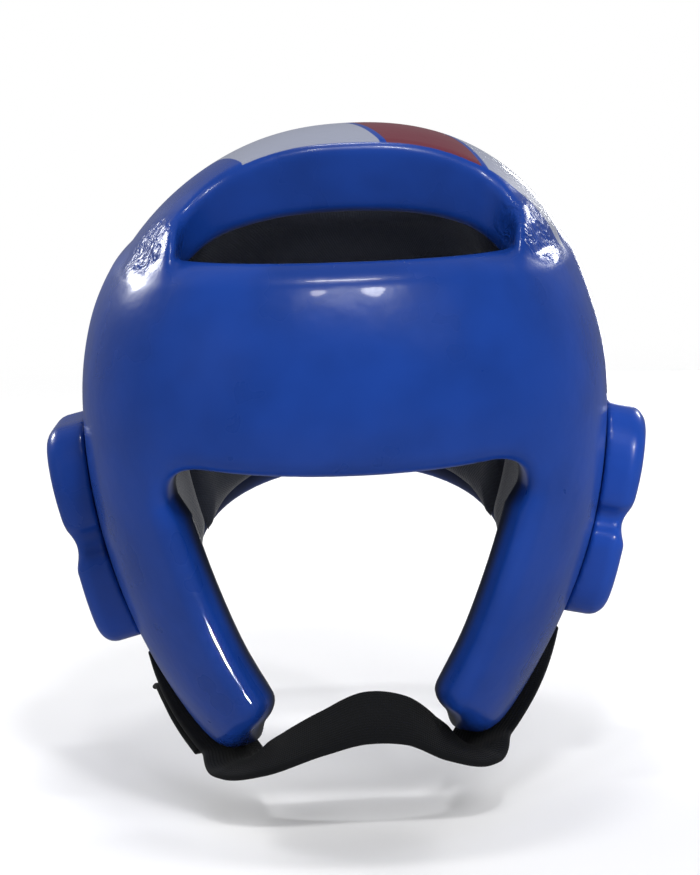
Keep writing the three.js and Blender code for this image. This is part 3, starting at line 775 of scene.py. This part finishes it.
def crown_stripes(x, y, z, depth):
    """Plain stripes across the crown, as two masks: the pale ones and the dark red one."""
    outside = (1 - depth.between(7, 7.6)) * z.between(60, 61)
    printed = outside * stripe(y, PRINT_FRONT, PRINT_BACK)
    slant = x + PRINT_SLANT * y
    pale = stripe(slant, *PALE_STRIPES[0]) + stripe(slant, *PALE_STRIPES[1])
    return pale * printed, stripe(slant, *RED_STRIPE) * printed


def vinyl(name, props, striped):
    """Glossy dipped vinyl: a deep even blue, faint mottling, a fine orange-peel skin, and soft scuffs.
    Striped, it also gets the crown's print and painted shade deep in the hollow.
    """
    made, tree, shader, place, (x, y, z) = finish_named(name)
    blue = tuple(props.vinyl_colour)
    cloud = noise(tree, place, scale=22, detail=3, rough=0.55)
    base = mixed(tree, cloud.between(0.3, 0.7), shade(blue, 0.86), shade(blue, 1.12))
    scuff = noise(tree, place, scale=40, detail=4, rough=0.55, distortion=0.5).between(0.58, 0.8)
    rough = 0.23 + 0.1 * cloud + 0.06 * scuff
    if striped:
        depth = node(tree, "ShaderNodeAttribute", {"attribute_name": "depth"}, out=2)
        pale, red = crown_stripes(x, y, z, depth)
        base = mixed(tree, pale, base, tuple(props.pale_print) + (1,))
        base = mixed(tree, red, base, tuple(props.red_print) + (1,))
        # Painted shade: deeper than the skin, the vinyl turns dark. It is held off at the back and low down,
        # where the dimples are, and on the bridge's front face.
        beyond = z.between(0, 20).math("MAXIMUM", y.between(0, 30))
        bridge_face = z.between(60, 70) * (1 - y.between(-41, -38))
        inner = (depth - 8 * beyond - 7 * bridge_face).between(*HOLLOW_SHADE_DEPTHS)
        base = mixed(tree, inner, base, tuple(props.hollow_shade_colour) + (1,))
        rough = rough + 0.12 * (pale + red) + 0.3 * inner
    swell = bump(tree, noise(tree, place, scale=70), distance=0.0006, strength=0.5)
    skin = bump(tree, noise(tree, place, scale=420), distance=0.00008, strength=0.25, normal=swell)
    off = [(at - middle) / reach for at, middle, reach in zip((abs(x), y, z), CRINKLE_PLACE, CREASE_REACH)]
    beside = 1 - (off[0] * off[0] + off[1] * off[1] + off[2] * off[2]).between(0.3, 1.6)
    crinkle = noise(tree, place, scale=150, distortion=1.2) * beside
    skin = bump(tree, crinkle, distance=0.002, strength=0.8, normal=skin)
    feed(tree, shader, Base_Color=base, Roughness=rough, Normal=skin)
    feed(tree, shader, Coat_Weight=0.14, Coat_Roughness=0.05, IOR=1.46, Specular_IOR_Level=0.28)
    return made


def turns_of(pitch):
    """What a place in metres is multiplied by, so that a sine repeats at each pitch."""
    return 2 * math.pi / pitch


def lining_cloth(name, props):
    """Charcoal lining cloth: a fine knit of crossed ribs, fibres in many tones, and a soft sheen."""
    made, tree, shader, place, _ = finish_named(name)
    cloth = tuple(props.lining_colour)
    u, v = weave_place(tree)
    rib = (u * turns_of(0.0011)).math("SINE") * (v * turns_of(0.0011)).math("SINE")
    fibre = noise(tree, place, scale=900, detail=3, rough=0.6)
    patch = noise(tree, place, scale=30, detail=3)
    tone = 0.55 + 0.35 * fibre + 0.25 * rib + 0.3 * (patch - 0.5)
    base = mixed(tree, tone.math("ADD", 0, clamp=True), shade(cloth, 0.55), shade(cloth, 1.5))
    knit = bump(tree, rib * 0.6 + fibre, distance=0.0002, strength=0.7)
    feed(tree, shader, Base_Color=base, Roughness=0.86 + 0.08 * fibre, Normal=knit)
    feed(tree, shader, Sheen_Weight=0.35, Sheen_Roughness=0.5)
    return made


def webbing(name, props, hooked=False):
    """Black elastic: ribs along it, crossing picks and flat borders. Hook tape is a grid of dots."""
    made, tree, shader, place, _ = finish_named(name)
    black = tuple(props.strap_colour)
    u, v = weave_place(tree)
    if hooked:
        ribs = (u * turns_of(0.0012)).math("SINE")
        picks = (v * turns_of(0.0012)).math("SINE")
    else:
        ribs = (u * turns_of(0.0013)).math("SINE")
        picks = (v * turns_of(0.0009) + ribs * 1.2).math("SINE")
    border = abs(u - 0.5 * STRAP_WIDTH / 1000).between(0.0105, 0.0109)
    weave = (ribs * 0.5 + picks * 0.5) * (1 - 0.7 * border)
    fibre = noise(tree, place, scale=1200, detail=3, rough=0.6)
    tone = (0.45 + 0.3 * weave + 0.4 * (fibre - 0.5)).math("ADD", 0, clamp=True)
    base = mixed(tree, tone, shade(black, 0.7), shade(black, 1.5))
    grain = bump(tree, weave + 0.5 * fibre, distance=0.00016, strength=0.7)
    feed(tree, shader, Base_Color=base, Roughness=0.8 + 0.12 * fibre, Normal=grain)
    feed(tree, shader, Sheen_Weight=0.04, Sheen_Roughness=0.5, Specular_IOR_Level=0.2)
    return made


# Properties


class HeadgearSizes(bpy.types.PropertyGroup):
    """Sizes that a user may change"""

    shell_fineness: bpy.props.FloatProperty(
        name="Shell fineness",
        description="Spacing of the corners on the foam shell",
        default=0.0018,
        min=0.001,
        unit="LENGTH",
    )
    guard_fineness: bpy.props.FloatProperty(
        name="Guard fineness",
        description="Spacing of the corners on the ear guards",
        default=0.0014,
        min=0.0008,
        unit="LENGTH",
    )
    pad_thickness: bpy.props.FloatProperty(
        name="Lining thickness",
        description="Thickness of the lining pads at their middles",
        default=0.0044,
        unit="LENGTH",
    )


class HeadgearColours(bpy.types.PropertyGroup):
    """Colours that a user may change"""

    vinyl_colour: bpy.props.FloatVectorProperty(
        name="Vinyl", description="Colour of the dipped skin", subtype="COLOR", default=(0.007, 0.042, 0.26)
    )
    # painted shade: the dark colour laid over the vinyl inside the hollow
    hollow_shade_colour: bpy.props.FloatVectorProperty(
        name="Painted hollow shade", description="Painted shade inside the hollow", subtype="COLOR", default=(0.014, 0.02, 0.046)
    )
    pale_print: bpy.props.FloatVectorProperty(
        name="Pale stripes", description="Colour on the crown", subtype="COLOR", default=(0.27, 0.29, 0.37)
    )
    red_print: bpy.props.FloatVectorProperty(
        name="Red stripe", description="Colour between them", subtype="COLOR", default=(0.13, 0.028, 0.042)
    )
    lining_colour: bpy.props.FloatVectorProperty(
        name="Lining", description="Colour of the cloth", subtype="COLOR", default=(0.021, 0.025, 0.038)
    )
    strap_colour: bpy.props.FloatVectorProperty(
        name="Strap", description="Colour of the elastic", subtype="COLOR", default=(0.0045, 0.005, 0.006)
    )


# Pieces


class HEADGEAR_OT_shell(bpy.types.Operator):
    """Builds the hollow foam shell"""

    bl_idname = "headgear.shell"
    bl_label = "Foam shell"

    def execute(self, context):
        scene = context.scene
        step = scene.headgear_sizes.shell_fineness * 1000
        corners, quads = net(shell_distance, *SHELL_BOX, step)
        corners = relaxed(corners, quads, shell_distance)
        made = mesh_object("shell_foam", in_row_frame(corners), quads)
        mark_depth(made, corners)
        dress(made, vinyl("striped_vinyl", scene.headgear_colours, True), "foam_shell", "foam_shell")
        return {"FINISHED"}


class HEADGEAR_OT_guards(bpy.types.Operator):
    """Builds the two ear guards"""

    bl_idname = "headgear.guards"
    bl_label = "Ear guards"

    def execute(self, context):
        scene = context.scene
        step = scene.headgear_sizes.guard_fineness * 1000
        finish = vinyl("plain_vinyl", scene.headgear_colours, False)
        for side, name in ((1, "left"), (-1, "right")):
            distance = guard_distance(side)
            low, high = GUARD_BOX
            if side < 0:
                low, high = (-high[0], low[1], low[2]), (-low[0], high[1], high[2])
            corners, quads = net(distance, low, high, step)
            corners = relaxed(corners, quads, distance)
            made = mesh_object(f"guard_{name}", in_row_frame(corners), quads)
            dress(made, finish, f"ear_guard_{name}", f"ear_guard_{name}")
        return {"FINISHED"}


def pillow(points, normals, edge, thickness):
    """A pad's face and back on a grid of places: the face rises from its edge in a quarter circle."""
    rise = thickness * np.sqrt(np.clip(1 - (1 - np.clip(edge / PAD_EDGE, 0, 1)) ** 2, 0, 1))
    return points + normals * (PAD_FACE + rise)[..., None], points + normals * PAD_BACK


def grid_quads(rows, columns, offset=0):
    """Faces of a grid of corners, numbered row by row from an offset."""
    i, j = np.meshgrid(np.arange(rows - 1), np.arange(columns - 1), indexing="ij")
    a = (i * columns + j).ravel() + offset
    return np.stack([a, a + 1, a + columns + 1, a + columns], -1)


def pad_faces(rows, columns):
    """Faces of a front grid, a back grid, and the strip that joins their rims."""
    count = rows * columns
    front = grid_quads(rows, columns)
    back = grid_quads(rows, columns, count)[:, ::-1]
    rim = np.concatenate(
        [
            np.arange(columns),
            np.arange(1, rows) * columns + columns - 1,
            (rows - 1) * columns + np.arange(columns - 2, -1, -1),
            np.arange(rows - 2, 0, -1) * columns,
        ]
    )
    after = np.roll(rim, -1)
    side = np.stack([rim, rim + count, after + count, after], -1)
    return np.concatenate([front, back, side])


def inner_place(angle, level, side=1):
    """Place on the shell's inner face and the direction into the hollow."""
    inset = WALL + SEAT_GAP
    p = skin_point(angle, level, inset)
    n = -skin_normal(angle, level, inset)
    return p * (side, 1, 1), n * (side, 1, 1)


def angle_where(condition, levels):
    """For each level, the smallest angle from the front at which the condition's value turns positive."""
    angles = np.linspace(0.05, math.pi - 0.01, 900)
    grid = condition(angles[None, :], levels[:, None])
    return angles[np.argmax(grid > 0, axis=1)]


def side_pad(side, thickness, rows=150, columns=90):
    """A cheek and temple lining: each level runs from the face opening's edge to the seam or lower edge."""

    def past_face(angle, level):
        p = skin_point(angle, level + 0 * angle, WALL)
        half = np.interp(level, *FACE_HALF) + PAD_MARGIN
        gone = np.where(level < 0, p[..., 0] - half, 1)
        return np.minimum(gone, SIDE_PAD_FRONT + p[..., 1] + np.clip(-level * 5, 0, 60))

    bottom = -JAW_DEPTH * LOWEST_EDGE + PAD_MARGIN
    v = np.linspace(0, 1, rows)
    levels = bottom + (SIDE_PAD_TOP - bottom) * v
    start = angle_where(past_face, levels)
    seam = np.arctan2(skin_at(SIDE_PAD_BEHIND, levels, WALL), -SIDE_PAD_BEHIND)
    low_angles = np.linspace(math.radians(47), math.pi, 900)
    low_levels = edge_level(low_angles) + PAD_MARGIN
    stop = np.interp(levels, low_levels, low_angles)
    stop = np.minimum(seam, stop)
    width = np.maximum(stop - start, 0.02)
    u = np.linspace(0, 1, columns)
    angle = start[:, None] + width[:, None] * u[None, :]
    kernel = np.hanning(2 * ROW_BLEND + 1)
    kernel /= kernel.sum()
    padded_angle = np.pad(angle, ((ROW_BLEND, ROW_BLEND), (0, 0)), "edge")
    angle = np.apply_along_axis(lambda c: np.convolve(c, kernel, "valid"), 0, padded_angle)
    level = np.repeat(levels[:, None], columns, 1)
    p, n = inner_place(angle, level, side)
    return pad_mesh(p, n, thickness, side)


def pad_mesh(p, n, thickness, side=1):
    """Corners, faces and weave coordinates of a pad laid on a grid of places."""
    rows, columns = p.shape[:2]
    along = np.cumsum(np.linalg.norm(np.diff(p, axis=1, prepend=p[:, :1]), axis=2), axis=1)
    up = np.cumsum(np.linalg.norm(np.diff(p, axis=0, prepend=p[:1]), axis=2), axis=0)
    edge = np.minimum(np.minimum(along, along[:, -1:] - along), np.minimum(up, up[-1:] - up))
    front, back = pillow(p, n, edge, thickness)
    corners = np.concatenate([front.reshape(-1, 3), back.reshape(-1, 3)])
    uv = np.stack([along, up], -1).reshape(-1, 2) * 0.001
    faces = pad_faces(rows, columns)
    if side > 0:
        faces = faces[:, ::-1]
    return corners, faces, np.concatenate([uv, uv])


def back_pad(thickness, rows=110, columns=150):
    """The lining behind the head: from seam to seam, down to the nape's edge."""
    u = np.linspace(-1, 1, columns)
    v = np.linspace(0, 1, rows)[:, None]
    seam = np.arctan2(skin_at(BACK_PAD_BEHIND, 0.0, WALL), -BACK_PAD_BEHIND)
    angle = math.pi - u * (math.pi - seam)
    low = edge_level(np.minimum(angle, 2 * math.pi - angle)) + PAD_MARGIN
    level = low[None, :] + (BACK_PAD_TOP - low[None, :]) * v
    seams = np.arctan2(skin_at(BACK_PAD_BEHIND, level, WALL), -BACK_PAD_BEHIND)
    angle = math.pi - u[None, :] * (math.pi - seams)
    p, n = inner_place(angle, level)
    return pad_mesh(p, n, thickness)


class HEADGEAR_OT_linings(bpy.types.Operator):
    """Builds the three lining pads"""

    bl_idname = "headgear.linings"
    bl_label = "Lining pads"

    def execute(self, context):
        scene = context.scene
        thickness = scene.headgear_sizes.pad_thickness * 1000
        finish = lining_cloth("lining_cloth", scene.headgear_colours)
        pads = {
            "lining_left": side_pad(1, thickness),
            "lining_right": side_pad(-1, thickness),
            "lining_back": back_pad(thickness),
        }
        for node_name, (corners, faces, uv) in pads.items():
            made = mesh_object(node_name.replace("lining", "pad"), in_row_frame(corners), faces, uv)
            dress(made, finish, node_name, node_name)
        return {"FINISHED"}


def smooth_path(stations, count):
    """Places, directions ahead and across, and lengths, on a smooth curve through stations."""
    p = np.array([s[0] for s in stations])
    w = np.array([s[1] for s in stations])
    length = np.append(0, np.cumsum(np.linalg.norm(np.diff(p, axis=0), axis=1)))
    t = np.linspace(0, length[-1], count)
    curves = [[np.interp(t, *smooth_table(length, rows[:, k])) for k in range(3)] for rows in (p, w)]
    place, wide = (np.stack(curve, -1) for curve in curves)
    ahead = np.gradient(place, axis=0)
    ahead /= np.linalg.norm(ahead, axis=1, keepdims=True)
    wide -= (wide * ahead).sum(1, keepdims=True) * ahead
    wide /= np.linalg.norm(wide, axis=1, keepdims=True)
    return place, ahead, wide, t


def band_mesh(stations, width, thickness, count=300):
    """A flat band: a rounded rectangle carried along a path, with its ends closed."""
    place, ahead, wide, t = smooth_path(stations, count)
    face = np.cross(ahead, wide)
    r = thickness / 2
    turn = np.linspace(-math.pi / 2, math.pi / 2, 7)
    flat = np.linspace(-1, 1, 13)[1:-1] * (width / 2 - r)
    right = np.stack([width / 2 - r + r * np.cos(turn), r * np.sin(turn)], -1)
    top = np.stack([flat[::-1], np.full(11, r)], -1)
    section = np.concatenate([right, top, -right, -top])
    rings = place[:, None] + section[None, :, :1] * wide[:, None] + section[None, :, 1:] * face[:, None]
    n = len(section)
    i, j = np.meshgrid(np.arange(len(rings) - 1), np.arange(n), indexing="ij")
    a, b = (i * n + j).ravel(), (i * n + (j + 1) % n).ravel()
    k = np.arange(n // 2 - 1)
    cap = np.stack([k, k + 1, n - 2 - k, n - 1 - k], -1) + 3
    cap = np.where(cap >= n, cap - n, cap)
    last = (len(rings) - 1) * n
    quads = np.concatenate([np.stack([a, b, b + n, a + n], -1), cap[:, ::-1], cap + last])
    uv = np.stack(np.broadcast_arrays(section[None, :, 0] + width / 2, t[:, None]), -1).reshape(-1, 2)
    return rings.reshape(-1, 3), quads[:, ::-1], uv * 0.001


def under_edge(degrees, depth):
    """A place under the lower edge at an angle, negative on the wearer's right, and the way outwards."""
    angle = math.radians(degrees)
    out = np.array([math.sin(angle), -math.cos(angle), 0])
    p = skin_point(angle, edge_level(abs(angle))) + out * (STRAP_PROUD - STRAP_WIDTH / 2)
    p[2] -= depth
    return p, out


def strap_stations():
    """The strap's middle line and width directions: under the right jaw, the chin, and under the left jaw."""
    depth = 1.2 * (SEAT_GAP + STRAP_THICKNESS / 2) + 0.9
    right = [under_edge(-d, depth) for d in STRAP_DEGREES]
    left = [under_edge(d, depth) for d in STRAP_DEGREES][::-1]
    chin = []
    for x, y, z, tilt in CHIN_ROUTE:
        t = math.radians(tilt)
        chin.append((np.array([x, y, z], float), np.array([0, -math.cos(t), -math.sin(t)])))
    return right + chin + left


def tab_stations():
    """The hook tab's, under the strap on the wearer's right, and its loose end flares down."""
    depth = 1.2 * (2 * SEAT_GAP + STRAP_THICKNESS + TAB_THICKNESS / 2) + 1.8
    return [under_edge(-d, depth + TAB_FLARE * max(1 - i / 2, 0) ** 2) for i, d in enumerate(TAB_DEGREES)]


class HEADGEAR_OT_strap(bpy.types.Operator):
    """Builds the elastic chin strap and its hook tab"""

    bl_idname = "headgear.strap"
    bl_label = "Chin strap"

    def execute(self, context):
        colours = context.scene.headgear_colours
        corners, quads, uv = band_mesh(strap_stations(), STRAP_WIDTH, STRAP_THICKNESS)
        made = mesh_object("strap_band", in_row_frame(corners), quads, uv)
        dress(made, webbing("strap_webbing", colours), "chin_strap", "chin_strap")
        corners, quads, uv = band_mesh(tab_stations(), STRAP_WIDTH, TAB_THICKNESS, 80)
        made = mesh_object("strap_hook_tab", in_row_frame(corners), quads, uv)
        dress(made, webbing("hook_tape", colours, True), "strap_tab", "strap_tab")
        return {"FINISHED"}


# Stage


def area_light(name, place, target, size, power, spread=180, glossy=False):
    """A soft light aimed at a target. Only the small ones show as highlights on the gloss."""
    data = bpy.data.lights.new(name, "AREA")
    data.shape, data.size, data.size_y, data.energy = "ELLIPSE", size[0], size[1], power
    made = bpy.data.objects.new(name, data)
    made.location = place
    data.spread = math.radians(spread)
    made.visible_glossy, made.visible_camera = glossy, False
    made.rotation_euler = (Vector(target) - Vector(place)).to_track_quat("-Z", "Y").to_euler()
    bpy.context.scene.collection.objects.link(made)


class HEADGEAR_OT_stage(bpy.types.Operator):
    """Sets the floor, the studio lights and the camera"""

    bl_idname = "headgear.stage"
    bl_label = "Stage"

    def execute(self, context):
        low = Vector(cad_low)
        steps = np.linspace(-FLOOR_REACH, FLOOR_REACH, FLOOR_LINES)
        grid = np.full((FLOOR_LINES, FLOOR_LINES, 3), low.z - FLOOR_DROP)
        grid[..., 0], grid[..., 1] = steps[None], steps[:, None]
        floor = mesh_object("floor", grid.reshape(-1, 3), grid_quads(FLOOR_LINES, FLOOR_LINES))
        made, tree, shader, place, (x, y, _) = finish_named("pale_paper")
        tone = mixed(tree, noise(tree, place, 3, 2), (0.86, 0.86, 0.87, 1), (0.89, 0.89, 0.9, 1))
        away = (x * x + y * y).math("SQRT") * (0.001 / FLOOR_REACH)
        feed(tree, shader, Base_Color=tone, Roughness=0.9, Alpha=1 - away.between(*FLOOR_FADE))
        floor.data.materials.append(made)
        floor.visible_glossy = False
        floor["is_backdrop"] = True

        for name, place, size, power in SOFT_LIGHTS:
            area_light(name, place, MIDDLE, size, power)
        for name, place, target, size, power, spread in HIGHLIGHTS:
            area_light(name, place, target, size, power, spread, glossy=True)

        world = bpy.data.worlds.new("studio")
        world.use_nodes = True
        background = world.node_tree.nodes["Background"]
        background.inputs[0].default_value = (1, 1, 1, 1)
        seen = node(world.node_tree, "ShaderNodeLightPath")
        world.node_tree.links.new((WORLD_GLOW + (1 - WORLD_GLOW) * seen).socket, background.inputs[1])
        context.scene.world = world
        context.scene.view_settings.view_transform = "Standard"

        data = bpy.data.cameras.new("camera")
        data.sensor_width, data.lens = SENSOR, LENS
        camera = bpy.data.objects.new("camera", data)
        lift, roll = math.radians(CAMERA_LIFT), math.radians(CAMERA_ROLL)
        out = Vector((0, -math.cos(lift), math.sin(lift)))
        camera.location = Vector(CAMERA_AIM) + out * CAMERA_AWAY
        turn = (-out).to_track_quat("-Z", "Y")
        camera.rotation_mode = "QUATERNION"
        camera.rotation_quaternion = turn @ Quaternion((0, 0, 1), -roll)
        context.scene.collection.objects.link(camera)
        context.scene.camera = camera
        return {"FINISHED"}


class HEADGEAR_PT_panel(bpy.types.Panel):
    """Lists the pieces to build"""

    bl_idname = "HEADGEAR_PT_panel"
    bl_label = "Sparring Headgear"
    bl_space_type = "VIEW_3D"
    bl_region_type = "UI"
    bl_category = "Headgear"

    def draw(self, context):
        for operator in OPERATORS:
            self.layout.operator(operator.bl_idname)
        for group in (context.scene.headgear_sizes, context.scene.headgear_colours):
            for key in group.bl_rna.properties.keys():
                if key not in ("rna_type", "name"):
                    self.layout.prop(group, key)


OPERATORS = [HEADGEAR_OT_stage, HEADGEAR_OT_shell, HEADGEAR_OT_guards, HEADGEAR_OT_linings, HEADGEAR_OT_strap]
CLASSES = [HeadgearSizes, HeadgearColours, *OPERATORS, HEADGEAR_PT_panel]


def register():
    for cls in CLASSES:
        bpy.utils.register_class(cls)
    bpy.types.Scene.headgear_sizes = bpy.props.PointerProperty(type=HeadgearSizes)
    bpy.types.Scene.headgear_colours = bpy.props.PointerProperty(type=HeadgearColours)


def unregister():
    del bpy.types.Scene.headgear_sizes
    del bpy.types.Scene.headgear_colours
    for cls in reversed(CLASSES):
        bpy.utils.unregister_class(cls)


def main():
    register()
    bpy.ops.headgear.stage()
    bpy.ops.headgear.shell()
    bpy.ops.headgear.guards()
    bpy.ops.headgear.linings()
    bpy.ops.headgear.strap()


if __name__ == "__main__":
    main()
